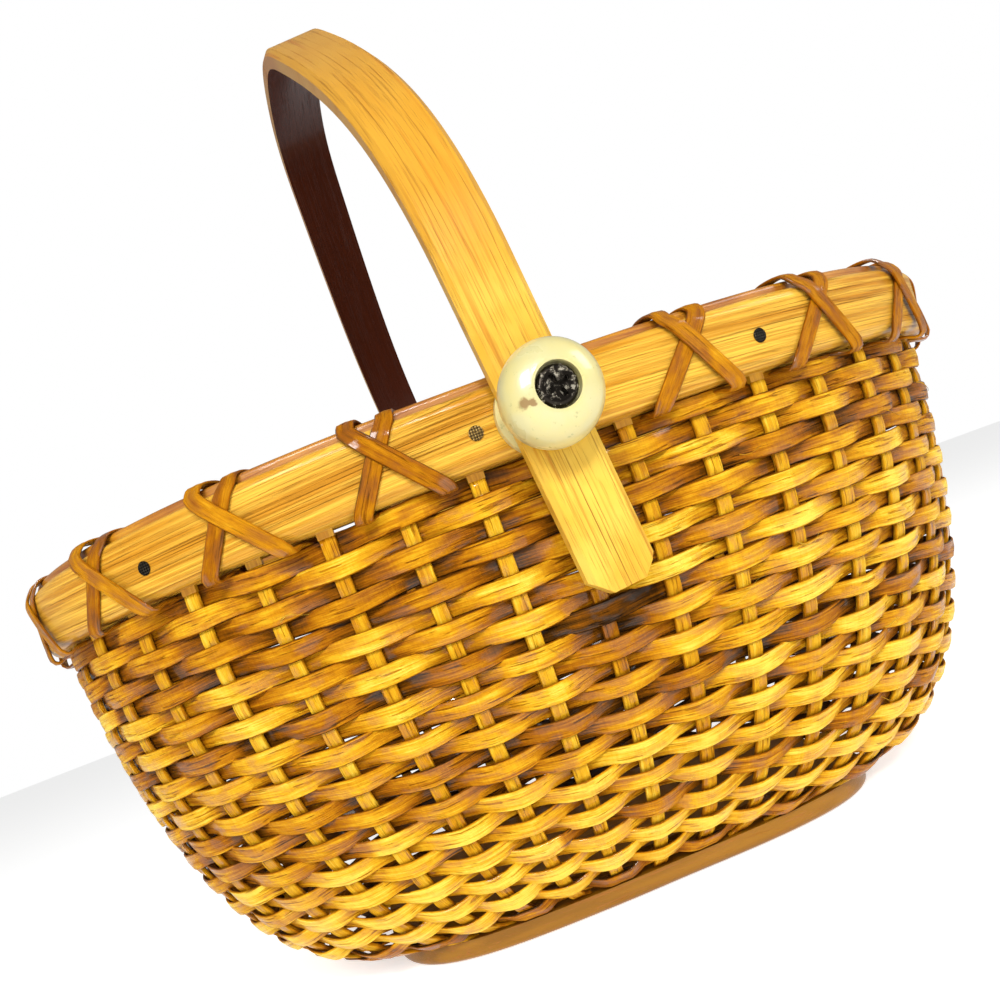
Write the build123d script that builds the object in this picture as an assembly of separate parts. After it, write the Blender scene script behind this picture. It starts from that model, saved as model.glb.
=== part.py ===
from build123d import *
from math import copysign, cos, pi, sin, tau
import os

# A small oval woven basket with a wooden base plate, a split wooden rim and a swing handle.
# Millimetres, +Z up. The origin is the middle of the base plate's underside, X along the
# long axis, the front pivot of the handle on the -Y side.

os.makedirs("parts", exist_ok=True)

# Oval plan shapes: half length, half width and the exponent of the oval (2 is an ellipse)
WALL_TOP_LENGTH = 76.9
WALL_TOP_WIDTH = 47.4
RIM_FULLNESS = 2.25
WALL_FOOT_LENGTH = 42.6
WALL_FOOT_WIDTH = 26.8
BASE_FULLNESS = 3.8
OVAL_POINTS = 40

# Base plate
BASE_HEIGHT = 3.3
BASE_MARGIN = 1.9
BASE_BOSS_INSET = 2.8
BASE_BOSS_HEIGHT = 2.4
BASE_EDGE_ROUND = 1.1

# Woven wall
STAVES = 39
ROWS = 27
WALL_TOP = 67.1
END_BULGE = 2.6
SIDE_BULGE = 1.4
PROFILE_STEPS = 14
PROFILE_CROWDING = 1.5
CREST = 1.2
STAVE_FACE = 0.4
GAP_VALLEY = 0.0
WALL_EDGE = 0.8
INNER_FACE = -0.9
INNER_LEVELS = 10
STAVE_PHASE = 0.06

# Staves between the hoops
STAVE_WIDTH = 2.3
STAVE_THICKNESS = 0.7
STAVE_END_DROP = 0.3
PIVOT_STAVE = 0
PIVOT_STAVE_GAP = 0.4

# Rim hoops, as offsets from the middle of the wall
RIM_BOTTOM = 68.0
RIM_HEIGHT = 9.4
HOOP_FIT = 0.4
OUTER_HOOP_FACE = 3.1
INNER_HOOP_FACE = -2.9
OUTER_HOOP_ROUND = 1.3
INNER_HOOP_ROUND = 0.8
CAP_HALF_WIDTH = 1.5
CAP_HEIGHT = 1.3
CAP_ROUND = 0.6

# Cane lashing
CANE_WIDTH = 2.1
CANE_THICKNESS = 0.45
CANE_CLEARANCE = 0.08
CANE_CROSS_LIFT = 0.6
CANE_CORNER_LIFT = 0.35
CANE_CROWN = 0.3
CROSS_FOOT_OUTWARD = 4.0
CROSS_FOOT_INWARD = 6.6
CROSS_HEAD = 2.4
CROSS_LEVEL = 0.7
CROSS_EVERY = 2
CANE_END_GAP = 0.1

# Rim pins: places counted in staves from the pivot
PIN_DIAMETER = 1.9
PIN_DEPTH = 1.8
PIN_HEAD = 0.15
DARK_PIN_PLACES = (-5.18, 2.93, 14.4, 24.2)
BRASS_PIN_PLACES = (-0.83, 18.5)

# Swing handle
PIVOT_HEIGHT = 72.2
HANDLE_WIDTH = 9.2
HANDLE_THICKNESS = 2.5
HANDLE_BEVEL = 0.8
HANDLE_TOP = 148.9
HANDLE_TAIL = 24.4
HANDLE_CLIP = 2.4
ARCH_SPRING = 90.0
ARCH_SHOULDER = (0.80, 0.51)
ARCH_CROWN = (0.42, 0.855)
HANDLE_LEAN = -6.0
PIVOT_CLEARANCE = 0.05

# Knobs, washers and screws, as lengths along the pivot axis
WASHER_DIAMETER = 11.4
WASHER_THICKNESS = 1.2
FACE_CLEARANCE = 0.1
KNOB_BASE_RADIUS = 5.3
KNOB_RADIUS = 6.2
KNOB_FRONT_RADIUS = 3.1
KNOB_WAIST = 2.2
KNOB_HEIGHT = 7.4
KNOB_RECESS_RADIUS = 2.75
KNOB_RECESS_DEPTH = 1.4
KNOB_BASE_SLOPE = (0.6, 1)
KNOB_FRONT_SLOPE = (-1, 0.25)
SCREW_RADIUS = 1.2
SCREW_HEAD_RADIUS = 2.5
SCREW_HEAD_HEIGHT = 1.25
SCREW_TIP = 1.6
SCREW_POINT_RADIUS = 0.2
SCREW_TIP_MARGIN = 0.5
SCREW_SLOT_WIDTH = 0.7
SCREW_SLOT_LENGTH = 3.0
SCREW_SLOT_DEPTH = 0.8
SCREW_SLOT_TURNS = (20, 110)
CUT_MARGIN = 1.0

RIM_TOP = RIM_BOTTOM + RIM_HEIGHT
HOOP_FRONT = WALL_TOP_WIDTH + OUTER_HOOP_FACE
HANDLE_INSIDE = HOOP_FRONT + WASHER_THICKNESS + FACE_CLEARANCE
HANDLE_OUTSIDE = HANDLE_INSIDE + HANDLE_THICKNESS
KNOB_SEAT = HANDLE_OUTSIDE + FACE_CLEARANCE


def oval(half_length, half_width, fullness, height=0.0):
    """Closed oval edge that starts at the front and runs towards +X."""
    points = []
    for step in range(OVAL_POINTS):
        angle = tau * step / OVAL_POINTS - pi / 2
        x = half_length * copysign(abs(cos(angle)) ** (2 / fullness), cos(angle))
        y = half_width * copysign(abs(sin(angle)) ** (2 / fullness), sin(angle))
        points.append((x, y, height))
    return Edge.make_spline(points, periodic=True)


def rim_oval(offset, height=0.0):
    """Oval at a distance from the middle of the wall, at the level of the rim."""
    return oval(WALL_TOP_LENGTH + offset, WALL_TOP_WIDTH + offset, RIM_FULLNESS, height)


def oval_face(edge):
    return Face(Wire([edge]))


def rim_band(inner, outer, bottom, height):
    """Hoop between two offsets from the middle of the wall."""
    solid = extrude(oval_face(rim_oval(outer, bottom)), amount=height, dir=(0, 0, 1))
    return solid - extrude(oval_face(rim_oval(inner, bottom)), amount=height, dir=(0, 0, 1))


def around(edge, fraction):
    """Point on an oval and its outward direction, by the share of its length."""
    place = fraction % 1.0
    tangent = edge % place
    return edge @ place, Vector(tangent.Y, -tangent.X, 0).normalized()


def stave_place(index):
    """Share of the way round at which a stave stands."""
    return (index + STAVE_PHASE) / STAVES


def solid_part(shape):
    """The one solid of a shape, clear of any wrapper."""
    return shape.solids().sort_by(SortBy.VOLUME)[-1]


# Base plate: a flat oval with a raised middle that the foot of the wall stands around
base_outline = oval(WALL_FOOT_LENGTH + BASE_MARGIN, WALL_FOOT_WIDTH + BASE_MARGIN, BASE_FULLNESS)
base_disc = extrude(oval_face(base_outline), amount=BASE_HEIGHT, dir=(0, 0, 1))
base_disc = fillet(base_disc.edges().group_by(Axis.Z)[0], BASE_EDGE_ROUND)
boss_outline = oval(
    WALL_FOOT_LENGTH - BASE_BOSS_INSET,
    WALL_FOOT_WIDTH - BASE_BOSS_INSET,
    BASE_FULLNESS,
    BASE_HEIGHT,
)
base_boss = extrude(oval_face(boss_outline), amount=BASE_BOSS_HEIGHT, dir=(0, 0, 1))
base_plate = solid_part(base_disc + base_boss)


# Woven wall: how the oval grows from the foot to the rim
def bulge(rise, power):
    return (1 - (1 - rise) ** 2) ** (1 / power)


def wall_height(rise):
    return BASE_HEIGHT + (WALL_TOP - BASE_HEIGHT) * rise


def wall_length(rise):
    return WALL_FOOT_LENGTH + (WALL_TOP_LENGTH - WALL_FOOT_LENGTH) * bulge(rise, END_BULGE)


def wall_width(rise):
    return WALL_FOOT_WIDTH + (WALL_TOP_WIDTH - WALL_FOOT_WIDTH) * bulge(rise, SIDE_BULGE)


profile_points = []
for step in range(PROFILE_STEPS + 1):
    rise = (step / PROFILE_STEPS) ** PROFILE_CROWDING
    profile_points.append((0, wall_width(rise), wall_height(rise)))
side_profile = Edge.make_spline(profile_points)


def wall_rise(share):
    """Rise of a level, by the share of the way up the side's curve."""
    return ((side_profile @ share).Z - BASE_HEIGHT) / (WALL_TOP - BASE_HEIGHT)


def wall_ring(share, shift):
    """Points round the middle of the wall at one level, one for each stave."""
    rise = wall_rise(share)
    fullness = BASE_FULLNESS + (RIM_FULLNESS - BASE_FULLNESS) * bulge(rise, END_BULGE)
    ring = oval(wall_length(rise), wall_width(rise), fullness, wall_height(rise))
    return [around(ring, stave_place(index + shift))[0] for index in range(STAVES)]


def skin_ring(share, shift, offset_at):
    """A ring of points moved out of the middle of the wall by offset_at(stave)."""
    middle = wall_ring(share, shift)
    step = 0.5 / ROWS
    above = wall_ring(min(share + step, 1.0), shift)
    below = wall_ring(max(share - step, 0.0), shift)
    points = []
    for index, point in enumerate(middle):
        along = middle[(index + 1) % STAVES] - middle[index - 1]
        normal = along.cross(above[index] - below[index])
        if share in (0.0, 1.0):
            normal = Vector(normal.X, normal.Y, 0)
        moved = point + normal.normalized() * offset_at(index)
        points.append(Vector(moved.X, moved.Y, max(moved.Z, BASE_HEIGHT)))
    return points


def facet(first, second, third):
    return Face(Wire.make_polygon([first, second, third], close=True))


def crossing_offset(row):
    """The weaver rides over every second stave of a row, and over the others of the next."""

    def offset_at(index):
        counted = index if index <= STAVES // 2 else index - STAVES
        return CREST if (row + counted) % 2 == 0 else STAVE_FACE

    return offset_at


def valley_offset(level):
    """Depth of the hollows between two rows, and of the wall's plain foot and top edge."""
    return lambda index: WALL_EDGE if level in (0, ROWS) else GAP_VALLEY


# Outside: one point where each row crosses each stave, one in each hollow between them
crossings = [skin_ring((row + 0.5) / ROWS, 0.0, crossing_offset(row)) for row in range(ROWS)]
valleys = [skin_ring(level / ROWS, 0.5, valley_offset(level)) for level in range(ROWS + 1)]
wall_faces = []
for row, ring in enumerate(crossings):
    for index in range(STAVES):
        left, right = ring[index - 1], ring[index]
        wall_faces.append(facet(left, right, valleys[row + 1][index - 1]))
        wall_faces.append(facet(right, left, valleys[row][index - 1]))
for level in range(ROWS + 1):
    for index in range(STAVES):
        left, right = valleys[level][index - 1], valleys[level][index]
        if level == 0:
            wall_faces.append(facet(left, right, crossings[0][index]))
        elif level == ROWS:
            wall_faces.append(facet(right, left, crossings[-1][index]))
        else:
            above, below = crossings[level][index], crossings[level - 1][index]
            wall_faces.append(facet(left, below, above))
            wall_faces.append(facet(below, right, above))

# Inside: a plain skin
inner_rings = [
    skin_ring(level / INNER_LEVELS, 0.0, lambda index: INNER_FACE)
    for level in range(INNER_LEVELS + 1)
]
for lower, upper in zip(inner_rings, inner_rings[1:]):
    for index in range(STAVES):
        wall_faces.append(facet(lower[index - 1], lower[index], upper[index]))
        wall_faces.append(facet(lower[index - 1], upper[index], upper[index - 1]))
for end in (0, -1):
    outer_wire = Wire.make_polygon(valleys[end], close=True)
    inner_wire = Wire.make_polygon(inner_rings[end], close=True)
    wall_faces.append(Face(outer_wire, [inner_wire]))
woven_wall = Solid(Shell(wall_faces))

# Upper ends of the staves, from the top of the weave up between the hoops; the stave that
# stands at the front pivot is cut off under the screw
wall_line = rim_oval(0.0, WALL_TOP)
stave_ends = []
for index in range(STAVES):
    stave_top = RIM_TOP - STAVE_END_DROP
    if index == PIVOT_STAVE:
        stave_top = PIVOT_HEIGHT - SCREW_RADIUS - PIVOT_STAVE_GAP
    point, outward = around(wall_line, stave_place(index))
    section = Plane(origin=point, x_dir=outward, z_dir=(0, 0, 1))
    section_face = section * Rectangle(STAVE_THICKNESS, STAVE_WIDTH)
    stave_ends.append(extrude(section_face, amount=stave_top - WALL_TOP).solid())

# Rim hoops and the cane strip that caps the slot between them
outer_hoop = rim_band(HOOP_FIT, OUTER_HOOP_FACE, RIM_BOTTOM, RIM_HEIGHT)
outer_hoop_edges = outer_hoop.edges().group_by(SortBy.LENGTH)[-1]
outer_hoop = fillet(outer_hoop_edges, OUTER_HOOP_ROUND)
inner_hoop = rim_band(INNER_HOOP_FACE, -HOOP_FIT, RIM_BOTTOM, RIM_HEIGHT)
inner_hoop_edges = inner_hoop.edges().group_by(SortBy.LENGTH)[1]
inner_hoop = fillet(inner_hoop_edges, INNER_HOOP_ROUND)
rim_cap = rim_band(-CAP_HALF_WIDTH, CAP_HALF_WIDTH, RIM_TOP, CAP_HEIGHT)
rim_cap = solid_part(fillet(rim_cap.edges().group_by(Axis.Z)[-1], CAP_ROUND))


# Cane lashing: crossed strips wound over both hoops at every second stave
def cane_section(shift, offset, height, facing):
    """Cross-section of a strip; facing is its outward direction as (out, up)."""
    point, outward = around(rim_oval(offset, height), shift)
    normal = (outward * facing[0] + Vector(0, 0, facing[1])).normalized()
    along = outward.cross(Vector(0, 0, 1))
    plane = Plane(origin=point, x_dir=normal, z_dir=normal.cross(along))
    return (plane * Rectangle(CANE_THICKNESS, CANE_WIDTH)).face().outer_wire()


def pivot_side(index):
    """Which way round the nearer pivot lies from a stave: 1 towards +X at the front."""
    return -1 if 0 < index < STAVES / 4 or index < -STAVES / 4 else 1


def cane_strip(index, side, lift, corner_lift):
    """One turn of cane that leans to one side, closed under the hoops."""
    perimeter = wall_line.length
    reach = CROSS_FOOT_OUTWARD if side == pivot_side(index) else CROSS_FOOT_INWARD
    foot = stave_place(index) - side * reach / perimeter
    head = stave_place(index) + side * CROSS_HEAD / perimeter
    cross = stave_place(index)
    stand_off = CANE_CLEARANCE + CANE_THICKNESS / 2
    out = OUTER_HOOP_FACE + stand_off
    inside = INNER_HOOP_FACE - stand_off
    under = (WALL_TOP + RIM_BOTTOM) / 2
    over = RIM_TOP + CAP_HEIGHT + stand_off + CANE_CROWN
    shoulder = RIM_TOP + CAP_HEIGHT
    crossing = RIM_BOTTOM + RIM_HEIGHT * CROSS_LEVEL
    leg = (foot + cross) / 2
    leg_lift = (corner_lift + lift) / 2
    sections = [
        cane_section(foot, CANE_END_GAP, under, (0, -1)),
        cane_section(foot, out + corner_lift, under, (1, -1)),
        cane_section(leg, out + leg_lift, (under + crossing) / 2, (1, 0)),
        cane_section(cross, out + lift, crossing, (1, 0)),
        cane_section(head, out + corner_lift, shoulder, (1, 1)),
        cane_section(head, 0, over, (0, 1)),
        cane_section(head, inside - corner_lift, shoulder, (-1, 1)),
        cane_section(cross, inside - lift, crossing, (-1, 0)),
        cane_section(foot, inside - corner_lift, under, (-1, -1)),
        cane_section(foot, -CANE_END_GAP, under, (0, -1)),
    ]
    return Solid.make_loft(sections, ruled=True)


cross_places = range(CROSS_EVERY, STAVES // 2, CROSS_EVERY)
lower_canes = []
upper_canes = []
for place in cross_places:
    for index in (place, -place):
        lower_canes.append(cane_strip(index, 1, 0, 0))
        upper_canes.append(cane_strip(index, -1, CANE_CROSS_LIFT, CANE_CORNER_LIFT))


# Rim pins: short nails let into the outer hoop
def rim_pin(place):
    point, outward = around(rim_oval(OUTER_HOOP_FACE, PIVOT_HEIGHT), stave_place(place))
    plane = Plane(origin=point - outward * PIN_DEPTH, z_dir=outward)
    return extrude(plane * Circle(PIN_DIAMETER / 2), amount=PIN_DEPTH + PIN_HEAD).solid()


dark_pins = [rim_pin(place) for place in DARK_PIN_PLACES]
brass_pins = [rim_pin(place) for place in BRASS_PIN_PLACES]
for pin in dark_pins + brass_pins:
    outer_hoop = outer_hoop - pin

# Swing handle: one bent band with bevelled outer edges, hanging tails and clipped corners
band_middle = HANDLE_INSIDE + HANDLE_THICKNESS / 2
arch_top = HANDLE_TOP - HANDLE_THICKNESS / 2
arch_rise = arch_top - ARCH_SPRING
tail_end = PIVOT_HEIGHT - HANDLE_TAIL
arch_points = [(0, -band_middle, ARCH_SPRING)]
for across, up in (ARCH_SHOULDER, ARCH_CROWN):
    arch_points.append((0, -band_middle * across, ARCH_SPRING + arch_rise * up))
arch_points.append((0, 0, arch_top))
front_arch = Spline(*arch_points, tangents=[(0, 0, 1), (0, 1, 0)])
front_leg = Line((0, -band_middle, tail_end), arch_points[0])
back_arch = front_arch.mirror(Plane.XZ)
back_leg = front_leg.mirror(Plane.XZ)
handle_line = Wire([front_leg, front_arch, back_arch, back_leg])
band_face = chamfer(
    Rectangle(HANDLE_WIDTH, HANDLE_THICKNESS).vertices().group_by(Axis.Y)[0],
    HANDLE_BEVEL,
)
start_plane = Plane(origin=front_leg @ 0, x_dir=(1, 0, 0), z_dir=(0, 0, 1))
handle_band = sweep(start_plane * band_face, path=handle_line)
tail_corners = handle_band.edges().filter_by(Axis.Y).group_by(Axis.Z)[0]
handle_band = chamfer(tail_corners, HANDLE_CLIP)


# Fittings of one pivot, made for the front and turned round for the back
def toward_front(distance):
    """Plane across the pivot axis, at a distance from the middle of the basket."""
    return Plane(origin=(0, -distance, PIVOT_HEIGHT), x_dir=(1, 0, 0), z_dir=(0, -1, 0))


def pivot_disc(radius, start, thickness):
    return extrude(toward_front(start) * Circle(radius), amount=thickness)


knob_outline = Polyline((0, 0), (KNOB_BASE_RADIUS, 0))
knob_side = Spline(
    (KNOB_BASE_RADIUS, 0),
    (KNOB_RADIUS, KNOB_WAIST),
    (KNOB_FRONT_RADIUS, KNOB_HEIGHT),
    tangents=[KNOB_BASE_SLOPE, KNOB_FRONT_SLOPE],
)
knob_front = Polyline((KNOB_FRONT_RADIUS, KNOB_HEIGHT), (0, KNOB_HEIGHT), (0, 0))
knob_section = make_face([knob_outline, knob_side, knob_front])
knob_blank = revolve(knob_section, axis=Axis.Y)
knob_blank = Location((0, -KNOB_SEAT, PIVOT_HEIGHT), (180, 0, 0)) * knob_blank
recess_start = KNOB_SEAT + KNOB_HEIGHT - KNOB_RECESS_DEPTH
knob_blank -= pivot_disc(KNOB_RECESS_RADIUS, recess_start, KNOB_RECESS_DEPTH + CUT_MARGIN)

screw_end = WALL_TOP_WIDTH + INNER_HOOP_FACE + SCREW_TIP_MARGIN
screw_head = pivot_disc(SCREW_HEAD_RADIUS, recess_start, SCREW_HEAD_HEIGHT)
screw_head = fillet(screw_head.edges().group_by(Axis.Y)[0], SCREW_HEAD_HEIGHT / 2)
slot_plane = toward_front(recess_start + SCREW_HEAD_HEIGHT - SCREW_SLOT_DEPTH)
for turn in SCREW_SLOT_TURNS:
    slot = Rot(0, 0, turn) * Rectangle(SCREW_SLOT_LENGTH, SCREW_SLOT_WIDTH)
    screw_head -= extrude(slot_plane * slot, amount=SCREW_SLOT_DEPTH)
shank_start = screw_end + SCREW_TIP
screw_shank = pivot_disc(SCREW_RADIUS, shank_start, recess_start - shank_start)
tip_plane = Plane(origin=(0, -shank_start, PIVOT_HEIGHT), x_dir=(1, 0, 0), z_dir=(0, 1, 0))
screw_point = tip_plane.offset(SCREW_TIP) * Circle(SCREW_POINT_RADIUS)
screw_tip = loft([tip_plane * Circle(SCREW_RADIUS), screw_point])
front_screw = solid_part(screw_head + screw_shank + screw_tip)
front_knob = solid_part(knob_blank - front_screw)
washer_blank = pivot_disc(WASHER_DIAMETER / 2, HOOP_FRONT, WASHER_THICKNESS)
front_washer = solid_part(washer_blank - front_screw)
half_turn = Rot(0, 0, 180)
back_screw = half_turn * front_screw
back_knob = half_turn * front_knob
back_washer = half_turn * front_washer
outer_hoop = solid_part(outer_hoop - front_screw - back_screw)
inner_hoop = solid_part(inner_hoop - front_screw - back_screw)

# The handle turns on the screws with a running fit and leans a little at rest
pivot_bore = extrude(
    toward_front(-HANDLE_OUTSIDE - CUT_MARGIN) * Circle(SCREW_RADIUS + PIVOT_CLEARANCE),
    amount=2 * (HANDLE_OUTSIDE + CUT_MARGIN),
)
handle_bored = handle_band - pivot_bore
pivot_axis = Axis((0, 0, PIVOT_HEIGHT), (0, 1, 0))
swing_handle = solid_part(handle_bored).rotate(pivot_axis, HANDLE_LEAN)

nodes = {
    "base_plate": base_plate,
    "woven_wall": woven_wall,
    "stave_ends": Compound(children=stave_ends),
    "outer_rim": outer_hoop,
    "inner_rim": inner_hoop,
    "rim_cap": rim_cap,
    "lower_lashing": Compound(children=lower_canes),
    "upper_lashing": Compound(children=upper_canes),
    "dark_rim_pins": Compound(children=dark_pins),
    "brass_rim_pins": Compound(children=brass_pins),
    "swing_handle": swing_handle,
    "front_knob": front_knob,
    "back_knob": back_knob,
    "front_washer": front_washer,
    "back_washer": back_washer,
    "front_screw": front_screw,
    "back_screw": back_screw,
}
for name, shape in nodes.items():
    export_step(shape, f"parts/{name}.step")
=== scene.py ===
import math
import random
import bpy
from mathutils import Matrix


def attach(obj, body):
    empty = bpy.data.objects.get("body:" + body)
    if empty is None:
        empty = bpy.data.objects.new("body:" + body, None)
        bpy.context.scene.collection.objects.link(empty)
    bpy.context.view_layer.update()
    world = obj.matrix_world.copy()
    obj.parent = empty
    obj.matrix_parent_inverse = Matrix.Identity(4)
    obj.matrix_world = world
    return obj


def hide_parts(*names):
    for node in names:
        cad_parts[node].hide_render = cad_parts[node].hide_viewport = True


bl_info = {
    "name": "Swing Handle Basket",
    "version": (1, 0, 0),
    "blender": (4, 5, 0),
    "location": "3D View > Sidebar > Basket",
    "description": "Weaves and finishes a small oval cane basket over its solid frame",
    "category": "Object",
}

import bpy
import numpy as np
from bpy.props import FloatProperty, FloatVectorProperty, IntProperty, PointerProperty
from mathutils import Matrix, Vector

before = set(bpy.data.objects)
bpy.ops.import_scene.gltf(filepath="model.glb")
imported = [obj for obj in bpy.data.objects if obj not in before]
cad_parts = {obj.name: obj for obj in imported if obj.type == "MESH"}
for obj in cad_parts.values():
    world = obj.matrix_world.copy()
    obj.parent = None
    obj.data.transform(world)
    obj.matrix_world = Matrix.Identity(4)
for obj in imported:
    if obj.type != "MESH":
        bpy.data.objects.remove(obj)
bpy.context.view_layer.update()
MM = 0.001

# The basket's own shape, the same as its solids, in millimetres
STAVES = 39
ROWS = 27
STAVE_PHASE = 0.06
WALL_TOP_LENGTH = 76.9
WALL_TOP_WIDTH = 47.4
RIM_FULLNESS = 2.25
WALL_FOOT_LENGTH = 42.6
WALL_FOOT_WIDTH = 26.8
BASE_FULLNESS = 3.8
BASE_HEIGHT = 3.3
WALL_TOP = 67.1
END_BULGE = 2.6
SIDE_BULGE = 1.4
RIM_BOTTOM = 68.0
RIM_HEIGHT = 9.4
OUTER_HOOP_FACE = 3.1
INNER_HOOP_FACE = -2.9
CAP_HEIGHT = 1.3
CROSS_FOOT_OUTWARD = 4.0
CROSS_FOOT_INWARD = 6.6
CROSS_HEAD = 2.4
PIVOT_HEIGHT = 72.2
HANDLE_LEAN = math.radians(-6.0)
PROFILE_CROWDING = 1.5
RIM_PERIMETER = 397.0

# The cane strands and staves that stand in for the wall's relief
STEPS_PER_STAVE = 8
STAND_OFF = 0.80
START_TAPER = 0.45
TOP_ROW_LIFT = 0.26
TOP_ROW_DROP_PLACE = -3.4
RED_ROW = 22.6
RED_ROW_STAVES = (-7.5, -0.6)
STRAND_SHADES = (0.02, 0.08, 0.14, 0.19, 0.24, 0.28, 0.33, 0.38, 0.44, 0.5)
# Place of a darker patch on the weave and front stave just below the handle's tail
TAIL_DARK_STAVE = 0.1
TAIL_DARK_ROW = 18.2
KNOB_SPOTS = ((-4.4, 71.5, 0.6), (-3.5, 71.3, 0.42))
KNOB_FACE = -58.0
FLOOR_RADIUS = 2.5
STRIP_SIDES = 8
STRIP_PROFILE = (
    (-1, 0), (-0.88, 0.85), (0, 1), (0.88, 0.85), (1, 0), (0.88, -0.85), (0, -0.9), (-0.88, -0.85),
)
LASHING_STEPS = 64

# The camera that the photograph's outlines give: millimetres, radians and pixels of a level picture
CAMERA_PLACE = (-30.310, -156.541, 53.313)
CAMERA_YAW = 0.086157
CAMERA_PITCH = -0.086694
CAMERA_ROLL = -0.016174
PICTURE_TURN = math.radians(19.8)
PICTURE_CENTRE = (541.323, 797.258)
LEVEL_PICTURE_MIDDLE = 640
PICTURE_SIDE = 1000


# Shape of the wall
def oval_ring(half_length, half_width, fullness, shares):
    """Points of an oval by share of its length, from the front towards +X."""
    angles = np.linspace(0, math.tau, 1441) - math.pi / 2
    across, along = np.cos(angles), np.sin(angles)
    x = half_length * np.sign(across) * np.abs(across) ** (2 / fullness)
    y = half_width * np.sign(along) * np.abs(along) ** (2 / fullness)
    length = np.concatenate([[0], np.cumsum(np.hypot(np.diff(x), np.diff(y)))])
    wanted = (np.asarray(shares) % 1.0) * length[-1]
    return np.stack([np.interp(wanted, length, x), np.interp(wanted, length, y)], -1)


def bulge(rise, power):
    return (1 - (1 - rise) ** 2) ** (1 / power)


class Wall:
    """The middle surface of the woven wall, read by stave and by row."""

    LEVELS = 8
    PLACES = 8

    def __init__(self):
        rises = np.linspace(0, 1, 400) ** PROFILE_CROWDING
        widths = WALL_FOOT_WIDTH + (WALL_TOP_WIDTH - WALL_FOOT_WIDTH) * bulge(rises, SIDE_BULGE)
        heights = BASE_HEIGHT + (WALL_TOP - BASE_HEIGHT) * rises
        climb = np.concatenate([[0], np.cumsum(np.hypot(np.diff(widths), np.diff(heights)))])
        levels = np.linspace(0, 1, ROWS * self.LEVELS + 1)
        shares = (np.arange(STAVES * self.PLACES) / self.PLACES + STAVE_PHASE) / STAVES
        rings = []
        for level in levels:
            rise = np.interp(level * climb[-1], climb, rises)
            end, side = bulge(rise, END_BULGE), bulge(rise, SIDE_BULGE)
            ring = oval_ring(
                WALL_FOOT_LENGTH + (WALL_TOP_LENGTH - WALL_FOOT_LENGTH) * end,
                WALL_FOOT_WIDTH + (WALL_TOP_WIDTH - WALL_FOOT_WIDTH) * side,
                BASE_FULLNESS + (RIM_FULLNESS - BASE_FULLNESS) * end,
                shares,
            )
            height = np.full((len(ring), 1), BASE_HEIGHT + (WALL_TOP - BASE_HEIGHT) * rise)
            rings.append(np.hstack([ring, height]))
        self.points = np.array(rings)
        round_the_wall = np.roll(self.points, -1, 1) - np.roll(self.points, 1, 1)
        up_the_wall = np.gradient(self.points, axis=0)
        up_the_wall[0] = up_the_wall[1]
        normals = np.cross(round_the_wall, up_the_wall)
        self.normals = normals / np.linalg.norm(normals, axis=-1, keepdims=True)
        self.ups = up_the_wall / np.linalg.norm(up_the_wall, axis=-1, keepdims=True)

    def read(self, table, stave, row):
        """Value of a table at a place counted in staves and rows."""
        place = np.asarray(stave) * self.PLACES
        level = np.clip(np.asarray(row) * self.LEVELS, 0, ROWS * self.LEVELS - 1e-6)
        left = np.floor(place).astype(int)
        lower = np.floor(level).astype(int)
        side = (place - left)[..., None]
        rise = (level - lower)[..., None]
        around = STAVES * self.PLACES
        a, b = left % around, (left + 1) % around
        low = table[lower, a] * (1 - side) + table[lower, b] * side
        high = table[lower + 1, a] * (1 - side) + table[lower + 1, b] * side
        return low * (1 - rise) + high * rise


def rim_point(share, offset, height):
    """Point and outward direction on an oval beside the rim's middle line."""
    near = oval_ring(
        WALL_TOP_LENGTH + offset, WALL_TOP_WIDTH + offset, RIM_FULLNESS,
        [share - 0.0005, share, share + 0.0005],
    )
    along = near[2] - near[0]
    outward = Vector((along[1], -along[0], 0)).normalized()
    return Vector((near[1][0], near[1][1], height)), outward


def from_front(stave):
    """Staves counted from the front pivot, negative towards -X."""
    return (stave + STAVES / 2) % STAVES - STAVES / 2


def wander(count, every, seed):
    """A smooth random line between -1 and 1, with a new value at each few steps."""
    dice = np.random.default_rng(seed)
    knots = dice.uniform(-1, 1, int(count / every) + 4)
    places = np.arange(count) / every
    left = places.astype(int)
    part = places - left
    part = part * part * (3 - 2 * part)
    return knots[left] * (1 - part) + knots[left + 1] * part


# Meshes of cane
def strip_rings(middles, outs, sides, half_width, half_thickness, crown=0.0):
    """Rings of eight points round a flat strip; all arrays run along the strip."""
    rings = []
    for across, deep in STRIP_PROFILE:
        lift = half_thickness * deep + (crown if deep == 1 else 0)
        rings.append(middles + sides * (half_width * across)[:, None] + outs * lift[:, None])
    return np.stack(rings, 1)


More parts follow.
